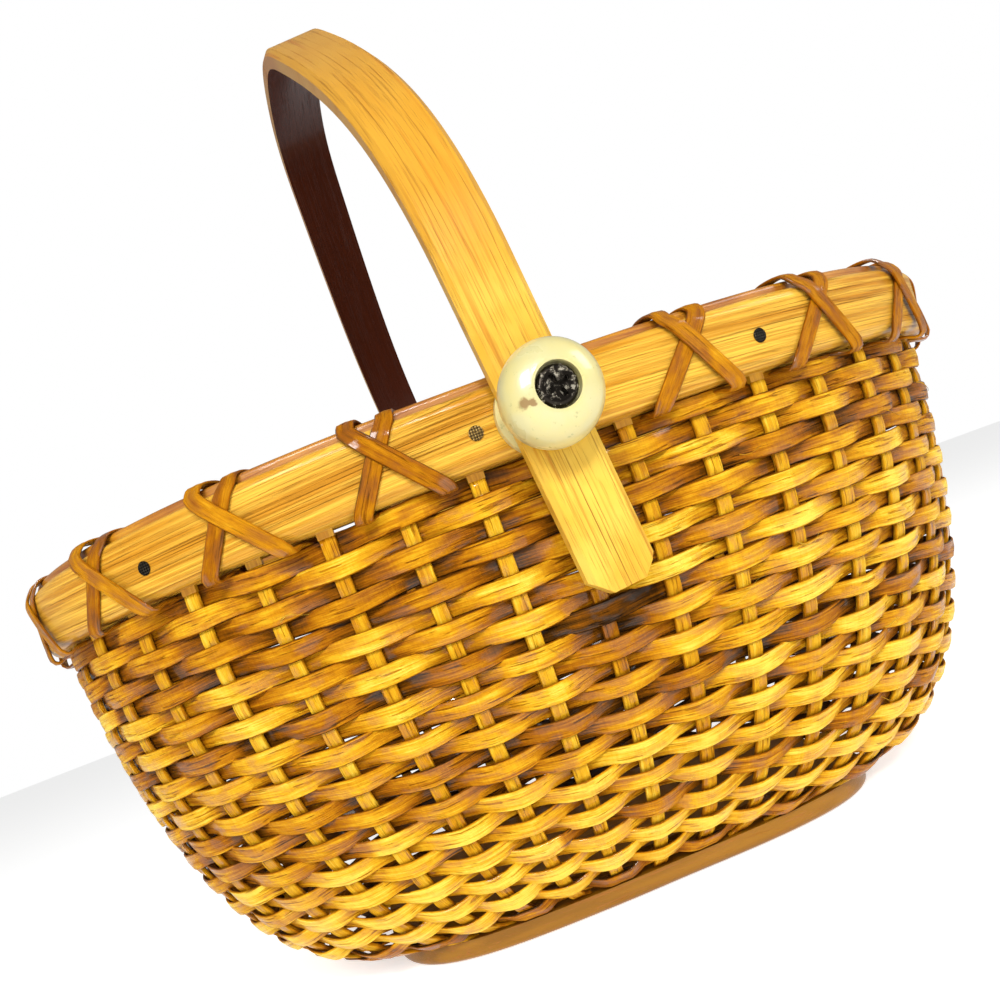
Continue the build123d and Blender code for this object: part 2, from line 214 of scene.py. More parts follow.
class StripMesh:
    """Gathers strips of cane, with what their finish reads, into one piece."""

    def __init__(self):
        self.points = []
        self.faces = []
        self.marks = {"tone": [], "along": [], "across": [], "seed": []}

    def add(self, rings, tone, along, seed, closed=False):
        start = sum(len(p) for p in self.points)
        count, around = rings.shape[:2]
        self.points.append(rings.reshape(-1, 3) * MM)
        tone = np.asarray(tone, float)
        self.marks["tone"].append(tone.ravel() if tone.ndim == 2 else np.repeat(tone, around))
        self.marks["along"].append(np.repeat(along, around))
        across = np.array((-1, -0.88, 0, 0.88, 1, 1.7, 2.4, 3.1))
        self.marks["across"].append(np.tile(across, count))
        self.marks["seed"].append(np.full(count * around, float(seed)))
        for ring in range(count if closed else count - 1):
            low = start + ring * around
            high = start + (ring + 1) % count * around
            for step in range(around):
                after = (step + 1) % around
                self.faces.append((low + step, low + after, high + after, high + step))
        if not closed:
            self.faces.append([start + step for step in range(around)][::-1])
            last = start + (count - 1) * around
            self.faces.append([last + step for step in range(around)])

    def piece(self, name, finish):
        mesh = bpy.data.meshes.new(name)
        mesh.from_pydata(np.vstack(self.points).tolist(), [], self.faces)
        for mark, values in self.marks.items():
            attribute = mesh.attributes.new(mark, "FLOAT", "POINT")
            attribute.data.foreach_set("value", np.concatenate(values).astype(np.float32))
        mesh.polygons.foreach_set("use_smooth", [True] * len(mesh.polygons))
        ends = np.empty(len(mesh.edges) * 2, np.int32)
        mesh.edges.foreach_get("vertices", ends)
        ends = ends.reshape(-1, 2)
        lengthways = (ends[:, 0] - ends[:, 1]) % STRIP_SIDES == 0
        crisp = lengthways & (ends[:, 0] % 2 == 1)
        mesh.attributes.new("sharp_edge", "BOOLEAN", "EDGE").data.foreach_set("value", crisp)
        mesh.update()
        made = bpy.data.objects.new(name, mesh)
        bpy.context.scene.collection.objects.link(made)
        made.data.materials.append(finish)
        return made


# Finishes
def find_socket(sockets, key):
    if isinstance(key, int):
        return sockets[key]
    for socket in sockets:
        if socket.identifier == key:
            return socket
    return sockets[key]


class Reading:
    """A number that a shader works out, for use in ordinary arithmetic."""

    def __init__(self, finish, socket):
        self.finish = finish
        self.socket = socket

    def __add__(self, other):
        return self.finish.number("ADD", self, other)

    def __radd__(self, other):
        return self.finish.number("ADD", other, self)

    def __sub__(self, other):
        return self.finish.number("SUBTRACT", self, other)

    def __rsub__(self, other):
        return self.finish.number("SUBTRACT", other, self)

    def __mul__(self, other):
        return self.finish.number("MULTIPLY", self, other)

    def __rmul__(self, other):
        return self.finish.number("MULTIPLY", other, self)

    def __truediv__(self, other):
        return self.finish.number("DIVIDE", self, other)

    def __pow__(self, other):
        return self.finish.number("POWER", self, other)


class Finish:
    """One material, or the room's light, and the nodes that it is worked out with."""

    def __init__(self, name, owners=None):
        owners = bpy.data.materials if owners is None else owners
        self.material = owners.new(name)
        self.material.use_nodes = True
        self.tree = self.material.node_tree
        self.tree.nodes.clear()

    def node(self, kind, settings=None, inputs=None, output=0):
        made = self.tree.nodes.new(kind)
        for key, value in (settings or {}).items():
            if key == "stops":
                ramp = made.color_ramp
                for place, colour in value[len(ramp.elements):]:
                    ramp.elements.new(place)
                for element, (place, colour) in zip(ramp.elements, value):
                    element.position = place
                    element.color = (*colour, 1)
            else:
                setattr(made, key, value)
        for key, value in (inputs or {}).items():
            socket = find_socket(made.inputs, key)
            if isinstance(value, Reading):
                self.tree.links.new(value.socket, socket)
            else:
                socket.default_value = value
        return Reading(self, find_socket(made.outputs, output)) if made.outputs else None

    def number(self, operation, first, second=0.0):
        return self.node("ShaderNodeMath", {"operation": operation}, {0: first, 1: second})

    def mark(self, name):
        return self.node("ShaderNodeAttribute", {"attribute_name": name}, output="Fac")

    def place(self):
        """The point's own place in millimetres, as a vector."""
        coordinates = self.node("ShaderNodeTexCoord", output="Object")
        scale = {0: coordinates, "Scale": 1 / MM}
        return self.node("ShaderNodeVectorMath", {"operation": "SCALE"}, scale)

    def parts(self, vector):
        """The three numbers of a vector."""
        split = self.node("ShaderNodeSeparateXYZ", inputs={0: vector})
        sockets = split.socket.node.outputs
        return [Reading(self, sockets[axis]) for axis in range(3)]

    def vector(self, x, y, z=0.0):
        return self.node("ShaderNodeCombineXYZ", inputs={0: x, 1: y, 2: z})

    def noise(self, vector, scale=1.0, detail=2.0, roughness=0.5, distortion=0.0):
        inputs = {"Vector": vector, "Scale": scale, "Detail": detail, "Roughness": roughness,
                  "Distortion": distortion}
        return self.node("ShaderNodeTexNoise", inputs=inputs)

    def step(self, value, low, high):
        """0 below low and 1 above high, with a smooth way between."""
        inputs = {"Value": value, "From Min": low, "From Max": high}
        return self.node("ShaderNodeMapRange", {"interpolation_type": "SMOOTHSTEP"}, inputs)

    def ramp(self, value, stops):
        return self.node("ShaderNodeValToRGB", {"stops": stops}, {0: value})

    def mix(self, share, first, second):
        """Mix of two colours; a plain colour may be given as three numbers."""
        colours = [c if isinstance(c, Reading) else (*c, 1) for c in (first, second)]
        inputs = {"Factor_Float": share, "A_Color": colours[0], "B_Color": colours[1]}
        return self.node("ShaderNodeMix", {"data_type": "RGBA"}, inputs, "Result_Color")

    def bump(self, height, distance):
        """Relief of a given depth in millimetres."""
        inputs = {"Height": height, "Distance": distance * MM, "Strength": 1.0}
        return self.node("ShaderNodeBump", inputs=inputs)

    def close(self, **surface):
        """Ends the material; names are those of the surface shader, with _ for a space."""
        named = {key.replace("_", " "): value for key, value in surface.items()}
        shader = self.node("ShaderNodeBsdfPrincipled", inputs=named)
        self.node("ShaderNodeOutputMaterial", inputs={"Surface": shader})
        return self.material


# Cane from its palest to its darkest, by how deep the tone is
CANE_TONES = [
    (0.0, (0.86, 0.60, 0.075)),
    (0.2, (0.70, 0.375, 0.014)),
    (0.4, (0.50, 0.20, 0.004)),
    (0.62, (0.28, 0.082, 0.002)),
    (0.82, (0.11, 0.034, 0.001)),
    (1.0, (0.025, 0.008, 0.001)),
]


def varnished_cane(name, tones, ticks=0.35, gloss=0.6, grain=1.0):
    """Split cane under varnish: fibres along each strip, stained blotches, and painted shade on its
    edges and back face.
    """
    finish = Finish(name)
    tone, along, across, seed = [finish.mark(m) for m in ("tone", "along", "across", "seed")]
    fibre_place = finish.vector(along * 0.14, across * 7.0, seed * 3.7)
    fibres = finish.noise(fibre_place, detail=3.0, roughness=0.7)
    coarse = finish.noise(finish.vector(along * 0.07, across * 2.2, seed * 9.1), detail=2.0)
    blotch = finish.noise(finish.vector(along * 0.26, across * 0.8, seed * 5.3), detail=3.0)
    tick = finish.noise(finish.vector(along * 3.2, across * 0.5, seed * 1.9), detail=1.0)
    split = finish.noise(finish.vector(along * 0.16, across * 3.4, seed * 6.7), detail=2.0)
    split = finish.step(split, 0.63, 0.69)
    # Painted shade: the strip's side edges and back face are drawn darker
    edge = finish.step(finish.number("ABSOLUTE", across), 0.8, 1.0)
    shade = tone + (fibres - 0.5) * (0.7 * grain) + (coarse - 0.5) * (0.45 * grain)
    shade = shade + (blotch - 0.5) * 0.7 + (tick - 0.5) * (0.35 * ticks)
    shade = shade + edge * 0.12 + split * (0.22 * grain)
    colour = finish.ramp(shade, tones)
    height = fibres * 0.8 + tick * (0.5 * ticks) + coarse * 0.5 - split * 0.8
    return finish.close(
        Base_Color=colour,
        Roughness=0.34 + fibres * 0.22,
        Coat_Weight=finish.step(blotch, 0.46, 0.62) * gloss,
        Coat_Roughness=0.1,
        Specular_IOR_Level=0.14,
        Specular_Tint=(1.0, 0.62, 0.18, 1.0),
        Normal=finish.bump(height, 0.3),
    )


def split_oak(name, pale, brown, dark):
    """Split oak under varnish: long open grain that runs round the hoop."""
    finish = Finish(name)
    x, y, z = finish.parts(finish.place())
    radial = ((x / WALL_TOP_LENGTH) ** 2.0 + (y / WALL_TOP_WIDTH) ** 2.0) ** 0.5 * 60.0
    across = z + radial * 0.8
    lines = finish.noise(finish.vector(x * 0.02, y * 0.02, across * 4.0), detail=5.0, roughness=0.75)
    pores = finish.noise(finish.vector(x * 0.07, y * 0.07, across * 10.0), detail=3.0, roughness=0.6)
    broad = finish.noise(finish.vector(x * 0.03, y * 0.03, across * 0.5), detail=2.0)
    streaks = finish.noise(finish.vector(x * 0.02, y * 0.02, across * 1.6), detail=3.0)
    open_grain = finish.step(lines, 0.55, 0.68)
    fine = finish.step(pores, 0.48, 0.66)
    colour = finish.mix(finish.step(broad * 0.5 + streaks * 0.5, 0.4, 0.62), pale, brown)
    colour = finish.mix(fine * 0.6, colour, brown)
    colour = finish.mix(open_grain * 0.75, colour, dark)
    height = 1.0 - open_grain * 0.7 - fine * 0.35
    return finish.close(
        Base_Color=colour,
        Roughness=0.36 + open_grain * 0.25,
        Coat_Weight=0.35 - open_grain * 0.3,
        Coat_Roughness=0.2,
        Specular_IOR_Level=0.12,
        Specular_Tint=(1.0, 0.7, 0.3, 1.0),
        Normal=finish.bump(height, 0.12),
    )


def dress(node, material):
    """Gives a solid its finish."""
    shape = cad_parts[node]
    for slot in shape.material_slots:
        slot.material = material
    if not shape.material_slots:
        raise RuntimeError(f"{node} has no material slot")


# Settings
class BasketSizes(bpy.types.PropertyGroup):
    weaver_width: FloatProperty(
        name="Weaver Width", description="Width of the flat cane that is woven round the staves",
        default=2.92 * MM, unit="LENGTH",
    )
    weaver_thickness: FloatProperty(
        name="Weaver Thickness", description="Thickness of the woven cane",
        default=0.5 * MM, unit="LENGTH",
    )
    stave_width: FloatProperty(
        name="Stave Width", description="Width of the upright staves",
        default=2.3 * MM, unit="LENGTH",
    )
    stave_thickness: FloatProperty(
        name="Stave Thickness", description="Thickness of the upright staves",
        default=0.8 * MM, unit="LENGTH",
    )
    lashing_width: FloatProperty(
        name="Lashing Width", description="Width of the cane wound over the rim",
        default=2.45 * MM, unit="LENGTH",
    )
    loose_fibres: IntProperty(
        name="Loose Fibres", description="How many fine fibres stand off the weave", default=26,
    )


class BasketColours(bpy.types.PropertyGroup):
    oak_pale: FloatVectorProperty(
        name="Pale Oak", description="Lightest colour of the rim's wood", subtype="COLOR",
        default=(0.76, 0.43, 0.050),
    )
    oak_brown: FloatVectorProperty(
        name="Brown Oak", description="Deeper colour of the rim's wood", subtype="COLOR",
        default=(0.50, 0.205, 0.010),
    )
    oak_grain: FloatVectorProperty(
        name="Oak Grain", description="Colour of the open grain", subtype="COLOR",
        default=(0.15, 0.042, 0.002),
    )
    handle_honey: FloatVectorProperty(
        name="Handle Honey", description="Varnished outer face of the handle", subtype="COLOR",
        default=(0.74, 0.47, 0.065),
    )
    handle_inside: FloatVectorProperty(
        name="Handle Inside", description="Stained inner face of the handle", subtype="COLOR",
        default=(0.028, 0.005, 0.002),
    )
    ivory: FloatVectorProperty(
        name="Ivory", description="Polished knobs and washers", subtype="COLOR",
        default=(0.53, 0.48, 0.23),
    )
    base_orange: FloatVectorProperty(
        name="Base Orange", description="Varnished base plate", subtype="COLOR",
        default=(0.20, 0.082, 0.002),
    )


class StageSettings(bpy.types.PropertyGroup):
    floor_colour: FloatVectorProperty(
        name="Floor Colour", description="Pale floor under the basket", subtype="COLOR",
        default=(0.86, 0.86, 0.85),
    )
    key_power: FloatProperty(
        name="Key Light", description="Power of the large soft light", default=3.6, unit="POWER",
    )
    room_light: FloatProperty(
        name="Room Light", description="Soft light that comes from all round", default=0.37,
    )
    lens: FloatProperty(
        name="Lens", description="Focal length of the camera", default=30.6, unit="CAMERA",
    )


# Pieces
class BASKET_OT_weave_wall(bpy.types.Operator):
    """Weaves one long strand of cane round the staves, from the base to the rim"""

    bl_idname = "basket.weave_wall"
    bl_label = "Weave Wall"

    def execute(self, context):
        sizes = context.scene.basket_sizes
        wall = Wall()
        count = ROWS * STAVES * STEPS_PER_STAVE
        turn = np.arange(count) / STEPS_PER_STAVE
        # The strand climbs one row each time round, and starts and ends at the back
        stave = turn - STAVES // 2
        row = 0.5 + stave / STAVES
        place = from_front(stave)
        lifted = TOP_ROW_LIFT * (1 - np.exp(-((place - TOP_ROW_DROP_PLACE) / 1.1) ** 4))
        row = row + lifted * np.clip((row - ROWS + 7) / 6, 0, 1)
        row = np.clip(row, 0.44, ROWS - 0.16)
        # Out over one stave and in behind the next; low down it bends into a V at each stave
        swing = -np.cos(math.pi * turn)
        over = np.sign(swing) * np.abs(swing) ** 0.8
        level = row
        droop = 0.07 + 0.16 * np.clip(1.2 - row / 16, 0, 1)
        vee = np.arcsin(np.clip(swing, -1, 1)) * 2 / math.pi
        row = row + 0.07 * wander(count, 9, 3) - droop * (vee * 0.7 + over * 0.3)
        middle = wall.read(wall.points, stave, row)
        normal = wall.read(wall.normals, stave, row)
        up = wall.read(wall.ups, stave, row)
        stand_off = STAND_OFF + 0.06 * wander(count, 11, 5)
        middle = middle + normal * (over * stand_off)[:, None]
        # Narrow where it starts and ends, and a little where it dives between staves
        start_taper = np.clip(START_TAPER + turn / 40, 0, 1)
        end_taper = np.clip(START_TAPER + (turn[-1] - turn) / 40, 0, 1)
        taper = np.minimum(start_taper, end_taper)
        pinch = 0.93 + 0.07 * np.abs(swing) ** 0.7
        half_width = sizes.weaver_width / MM / 2 * taper * pinch * (1 + 0.09 * wander(count, 14, 7))
        half_width = half_width * (1 + 0.09 * np.clip(1.4 - level / 10, 0, 1))
        middle[:, 2] = np.maximum(middle[:, 2], BASE_HEIGHT + 0.25 + half_width * 0.8)
        half_thickness = np.full(count, sizes.weaver_thickness / MM / 2)
        # No strip lies quite flat
        twist = 0.22 * wander(count, 8, 11) * (1 - np.abs(swing)) + 0.07 * wander(count, 17, 13)
        side = up * np.cos(twist)[:, None] + normal * np.sin(twist)[:, None]
        out = normal * np.cos(twist)[:, None] - up * np.sin(twist)[:, None]
        rings = strip_rings(middle, out, side, half_width, half_thickness, crown=0.1)
        strand = StripMesh()
        strand.add(rings, self.tones(turn, level, stave, swing), turn * 10.0, 1.0)
        made = strand.piece("woven_strand", varnished_cane("woven_cane", CANE_TONES))
        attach(made, "basket")
        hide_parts("woven_wall")
        return {"FINISHED"}

    def tones(self, turn, row, stave, swing):
        """How dark the cane is: by length of cane, lower down, and under the handle's tail, with
        varnish pooling and painted shade where it dives behind staves, and painted shade on its inner
        face and along its edges.
        """
        dice = random.Random(21)
        tone = np.zeros(len(turn))
        start = 0.0
        while start < turn[-1]:
            length = dice.uniform(4, 26)
            shade = dice.choice(STRAND_SHADES)
            tone[(turn >= start) & (turn < start + length)] = shade
            start += length
        place = from_front(stave)
        red = (np.abs(row - RED_ROW) < 0.55) & (place > RED_ROW_STAVES[0]) & (place < RED_ROW_STAVES[1])
        tone[red] = 0.5
        # A darker patch just below the handle's tail
        aside, above = (place - TAIL_DARK_STAVE) / 0.75, (row - TAIL_DARK_ROW) / 2.4
        under_tail = np.exp(-aside ** 2 - above ** 2)
        tone = tone + 0.36 * under_tail + 0.05 * wander(len(turn), 40, 17)
        # Darker towards the bottom rows; on the outer face darker where the strand dives behind a
        # stave, part varnish pooling and part painted shade in the recess
        low = 0.07 * np.clip(1 - row / 10, 0, 1)
        outer = tone + low + 0.36 * ((1 - swing) / 2) ** 1.2
        # Painted shade: the inner face is drawn darker all over, and darker still where it lies behind
        # a stave as seen from inside
        inner = tone + 0.25 + 0.3 * ((1 + swing) / 2) ** 1.3
        # Painted shade: the strip's side edges are drawn darker, as shadow lines between rows
        edge = tone + 0.32
        return np.stack([edge, outer, outer, outer, edge, inner, inner, inner], 1)


class BASKET_OT_set_staves(bpy.types.Operator):
    """Stands the flat staves that the strand is woven round"""

    bl_idname = "basket.set_staves"
    bl_label = "Set Staves"

    def execute(self, context):
        sizes = context.scene.basket_sizes
        wall = Wall()
        staves = StripMesh()
        dice = random.Random(8)
        row = np.linspace(0, ROWS, ROWS * 4 + 1)
        for index in range(STAVES):
            counted = index if index <= STAVES // 2 else index - STAVES
            place = np.full(len(row), float(index))
            middle = wall.read(wall.points, place, row)
            normal = wall.read(wall.normals, place, row)
            up = wall.read(wall.ups, place, row)
            wave = np.cos(math.pi * (row - 0.5 - counted / STAVES + counted))
            middle = middle - normal * (0.13 * wave)[:, None]
            side = np.cross(up, normal)
            count = len(middle)
            half_width = sizes.stave_width / MM / 2 * (1 + 0.05 * wander(count, 20, index))
            half_thickness = np.full(count, sizes.stave_thickness / MM / 2)
            rings = strip_rings(middle, normal, side, half_width, half_thickness)
            own = 0.24 + 0.12 * dice.random() + 0.05 * wander(count, 25, index + 60)
            # Darker where the stave passes behind the weaver: part varnish pooling, part painted shade
            own = own + 0.3 * wave ** 2 * (wave > 0)
            # The front stave is darker in the same patch below the handle's tail
            if counted == 0:
                own = own + 0.3 * np.exp(-((row - 17.5) / 2.6) ** 2)
            along = np.concatenate([[0], np.cumsum(np.linalg.norm(np.diff(middle, axis=0), axis=1))])
            staves.add(rings, own, along, index + 2.0)
        cane = varnished_cane("stave_cane", CANE_TONES, ticks=0.1, gloss=0.6, grain=0.7)
        made = staves.piece("woven_staves", cane)
        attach(made, "basket")
        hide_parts("woven_wall")
        finish = Finish("stave_end_cane")
        x, y, z = finish.parts(finish.place())
        fibres = finish.noise(finish.vector(x * 3.0, y * 3.0, z * 0.1), detail=3.0)
        colour = finish.ramp(0.3 + (fibres - 0.5) * 0.5, CANE_TONES)
        dress("stave_ends", finish.close(
            Base_Color=colour, Roughness=0.4 + fibres * 0.2, Coat_Weight=0.5,
            Coat_Roughness=0.15, Normal=finish.bump(fibres, 0.1),
        ))
        return {"FINISHED"}


def hoop_outline(lift):
    """The way round both hoops and the cap, as (out, up) from under the hoops, one loop."""
    gap = (WALL_TOP + RIM_BOTTOM) / 2
    low = WALL_TOP - 0.55
    high = RIM_BOTTOM + RIM_HEIGHT
    top = high + CAP_HEIGHT + 0.3 + lift
    out = OUTER_HOOP_FACE + 0.3 + lift
    inside = INNER_HOOP_FACE - 0.3 - lift
    return np.array([
        (0.0, gap), (1.6, gap - 0.3), (out - 0.9, low - lift * 0.4), (out - 0.1, low + 0.5),
        (out, RIM_BOTTOM + 1.2), (out, high - 2.0), (out - 0.12, high - 0.7),
        (out - 0.9, high + 0.55), (1.9, top - 0.2), (0.0, top), (-1.9, top - 0.2),
        (inside + 0.8, high + 0.55), (inside + 0.1, high - 0.7), (inside, high - 2.0),
        (inside, RIM_BOTTOM + 1.2), (inside + 0.1, low + 0.5), (inside + 0.9, low - lift * 0.4),
        (-1.6, gap - 0.3),
    ])


def wound_strip(index, side, lift, half_width, half_thickness):
    """One turn of cane over both hoops, leaning to one side, as rings for a strip mesh."""
    place = (index + STAVE_PHASE) / STAVES
    near = -1 if 0 < index < STAVES / 4 or index < -STAVES / 4 else 1
    reach = CROSS_FOOT_OUTWARD if side == near else CROSS_FOOT_INWARD
    corners = hoop_outline(lift)
    closed = np.vstack([corners, corners[:1]])
    length = np.concatenate([[0], np.cumsum(np.linalg.norm(np.diff(closed, axis=0), axis=1))])
    count = LASHING_STEPS
    walk = np.arange(count) / count * length[-1]
    outline = np.stack([np.interp(walk, length, closed[:, axis]) for axis in (0, 1)], 1)
    for _ in range(2):
        outline = (np.roll(outline, 1, 0) + 2 * outline + np.roll(outline, -1, 0)) / 4
    climb = np.clip((outline[:, 1] - WALL_TOP) / (RIM_HEIGHT + CAP_HEIGHT), 0, 1)
    lean = -side * reach + side * (CROSS_HEAD + reach) * climb
    path = []
    for (offset, height), along in zip(outline, lean):
        point, _ = rim_point(place + along / RIM_PERIMETER, offset, height)
        path.append(tuple(point))
    path = np.array(path)
    forward = np.roll(path, -1, 0) - np.roll(path, 1, 0)
    forward /= np.linalg.norm(forward, axis=1, keepdims=True)
    _, outward = rim_point(place, 0, 0)
    turn = np.roll(outline, -1, 0) - np.roll(outline, 1, 0)
    facing = np.array(outward)[None] * turn[:, 1:] + np.array((0, 0, 1.0))[None] * -turn[:, :1]
    facing -= forward * (facing * forward).sum(1, keepdims=True)
    facing /= np.linalg.norm(facing, axis=1, keepdims=True)
    across = np.cross(facing, forward)
    width = np.full(count, half_width)
    rings = strip_rings(path, facing, across, width, np.full(count, half_thickness), 0.06)
    travel = np.concatenate([[0], np.cumsum(np.linalg.norm(np.diff(path, axis=0), axis=1))])
    return rings, travel


class BASKET_OT_wind_lashing(bpy.types.Operator):
    """Winds the crossed cane strips over the two hoops of the rim"""

    bl_idname = "basket.wind_lashing"
    bl_label = "Wind Lashing"

    def execute(self, context):
        half_width = context.scene.basket_sizes.lashing_width / MM / 2
        cane = varnished_cane("lashing_cane", CANE_TONES, ticks=0.1, gloss=0.9, grain=0.4)
        dice = random.Random(5)
        for name, side, lift in (("lower_lashing", 1, 0.0), ("upper_lashing", -1, 0.42)):
            strips = StripMesh()
            for place in range(2, STAVES // 2, 2):
                for index in (place, -place):
                    rings, length = wound_strip(index, side, lift, half_width, 0.225)
                    tone = np.full(len(rings), 0.52 + dice.uniform(-0.08, 0.08))
                    strips.add(rings, tone, length, index + side * 40.0, closed=True)
            made = strips.piece("wound_" + name, cane)
            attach(made, "basket")
            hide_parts(name)
        return {"FINISHED"}


class BASKET_OT_finish_rim(bpy.types.Operator):
    """Gives the two hoops their split oak and the strip between them its cane"""

    bl_idname = "basket.finish_rim"
    bl_label = "Finish Rim"

    def execute(self, context):
        colours = context.scene.basket_colours
        oak = split_oak("rim_oak", colours.oak_pale, colours.oak_brown, colours.oak_grain)
        for name in ("outer_rim", "inner_rim"):
            dress(name, oak)
        finish = Finish("cap_cane")
        x, y, z = finish.parts(finish.place())
        radial = ((x / WALL_TOP_LENGTH) ** 2.0 + (y / WALL_TOP_WIDTH) ** 2.0) ** 0.5 * 60.0
        fibres = finish.noise(finish.vector(x * 0.08, y * 0.08, (radial + z) * 5.0), detail=3.0)
        blotch = finish.noise(finish.vector(x * 0.12, y * 0.12, z * 0.1), detail=2.0)
        colour = finish.ramp(0.5 + (fibres - 0.5) * 0.5 + (blotch - 0.5) * 0.5, CANE_TONES)
        dress("rim_cap", finish.close(
            Base_Color=colour, Roughness=0.4 + fibres * 0.2, Coat_Weight=0.7,
            Coat_Roughness=0.16, Normal=finish.bump(fibres, 0.1),
        ))
        return {"FINISHED"}


class BASKET_OT_finish_handle(bpy.types.Operator):
    """Gives the swing handle its honey outer face and its dark inner face"""

    bl_idname = "basket.finish_handle"
    bl_label = "Finish Handle"

    def execute(self, context):
        colours = context.scene.basket_colours
        finish = Finish("bent_handle_wood")
        x, y, z = finish.parts(finish.place())
        across = x * math.cos(HANDLE_LEAN) - (z - PIVOT_HEIGHT) * math.sin(HANDLE_LEAN)
        normal = finish.node("ShaderNodeTexCoord", output="Normal")
        nx, ny, nz = finish.parts(normal)
        outward = ny * y + nz * (z - 96.0)
        inner = 1.0 - finish.step(outward / 50.0, -0.35, 0.0)
        lines = finish.noise(finish.vector(across * 3.2, y * 0.03, z * 0.03), detail=5.0, roughness=0.7)
        streak = finish.noise(finish.vector(across * 1.1, y * 0.018, z * 0.018 + 5.0), detail=2.0)
        pores = finish.noise(finish.vector(across * 9.0, y * 0.16, z * 0.16), detail=3.0)
        mottle = finish.noise(finish.vector(x * 0.12, y * 0.09, z * 0.12), detail=3.0)
        dark_lines = finish.step(lines, 0.56, 0.70)
        dark_streak = finish.step(streak, 0.55, 0.68)
        fine = finish.step(pores, 0.55, 0.72)
        honey = finish.mix(finish.step(mottle, 0.3, 0.7), colours.handle_honey, (0.66, 0.36, 0.03))
        honey = finish.mix(finish.step(z, 74.0, 104.0) * 0.8, honey, (0.52, 0.235, 0.016))
        honey = finish.mix(dark_streak * 0.7, honey, (0.46, 0.16, 0.010))
        honey = finish.mix(dark_lines * 0.85, honey, (0.34, 0.10, 0.006))
        honey = finish.mix(fine * 0.45, honey, (0.34, 0.12, 0.010))
        stain = finish.mix(lines, colours.handle_inside, (0.075, 0.015, 0.005))
        colour = finish.mix(inner, honey, stain)
        height = 1.0 - dark_lines * 0.6 - fine * 0.4
        dress("swing_handle", finish.close(
            Base_Color=colour,
            Roughness=0.33 + dark_lines * 0.2,
            Coat_Weight=0.35 - fine * 0.3,
            Coat_Roughness=0.18,
            Specular_IOR_Level=0.12,
            Normal=finish.bump(height, 0.1),
        ))
        return {"FINISHED"}


class BASKET_OT_finish_base(bpy.types.Operator):
    """Gives the base plate its orange varnished wood"""

    bl_idname = "basket.finish_base"
    bl_label = "Finish Base"

    def execute(self, context):
        colours = context.scene.basket_colours
        finish = Finish("base_wood")
        x, y, z = finish.parts(finish.place())
        grain = finish.noise(finish.vector(x * 0.03, y * 1.3, z * 1.3), detail=5.0, roughness=0.65)
        broad = finish.noise(finish.vector(x * 0.02, y * 0.22, z * 0.4), detail=2.0, distortion=0.4)
        pores = finish.noise(finish.vector(x * 0.2, y * 5.0, z * 5.0), detail=2.0)
        lines = finish.step(grain, 0.52, 0.68)
        fine = finish.step(pores, 0.55, 0.72)
        colour = finish.mix(finish.step(broad, 0.3, 0.7), colours.base_orange, (0.30, 0.13, 0.005))
        colour = finish.mix(lines * 0.55, colour, (0.36, 0.12, 0.02))
        colour = finish.mix(fine * 0.3, colour, (0.30, 0.10, 0.02))
        dress("base_plate", finish.close(
            Base_Color=colour,
            Roughness=0.36 + lines * 0.2,
            Coat_Weight=0.35 - fine * 0.3,
            Coat_Roughness=0.18,
            Specular_IOR_Level=0.12,
            Normal=finish.bump(1.0 - lines * 0.5 - fine * 0.3, 0.08),
        ))
        return {"FINISHED"}


class BASKET_OT_finish_knobs(bpy.types.Operator):
    """Polishes the knobs and washers of the two pivots"""

    bl_idname = "basket.finish_knobs"
    bl_label = "Finish Knobs"

    def execute(self, context):
        colours = context.scene.basket_colours
        finish = Finish("polished_ivory")
        place = finish.place()
        x, y, z = finish.parts(place)
        cloud = finish.noise(place, scale=0.3, detail=3.0)
        specks = finish.noise(place, scale=1.6, detail=2.0)
        spots = 0.0
        for across, height, size in KNOB_SPOTS:
            away = ((x - across) ** 2.0 + (z - height) ** 2.0) ** 0.5 + (specks - 0.5) * 0.8
            spots = spots + (1.0 - finish.step(away, size * 0.5, size * 1.4))
        spots = spots * (1.0 - finish.step(y, KNOB_FACE, KNOB_FACE + 1.0))
        clouded = finish.step(cloud, 0.35, 0.7)
        colour = finish.mix(clouded, colours.ivory, (0.58, 0.50, 0.20))
        colour = finish.mix(finish.step(specks, 0.66, 0.75) * 0.5, colour, (0.26, 0.28, 0.10))
        colour = finish.mix(finish.number("MINIMUM", spots, 0.85), colour, (0.22, 0.11, 0.03))
        dress_ivory = finish.close(
            Base_Color=colour,
            Roughness=0.22 + cloud * 0.15,
            Coat_Weight=0.6,
            Coat_Roughness=0.06,
            Normal=finish.bump(cloud + specks * 0.3, 0.06),
        )
        for name in ("front_knob", "back_knob", "front_washer", "back_washer"):
            dress(name, dress_ivory)
        return {"FINISHED"}


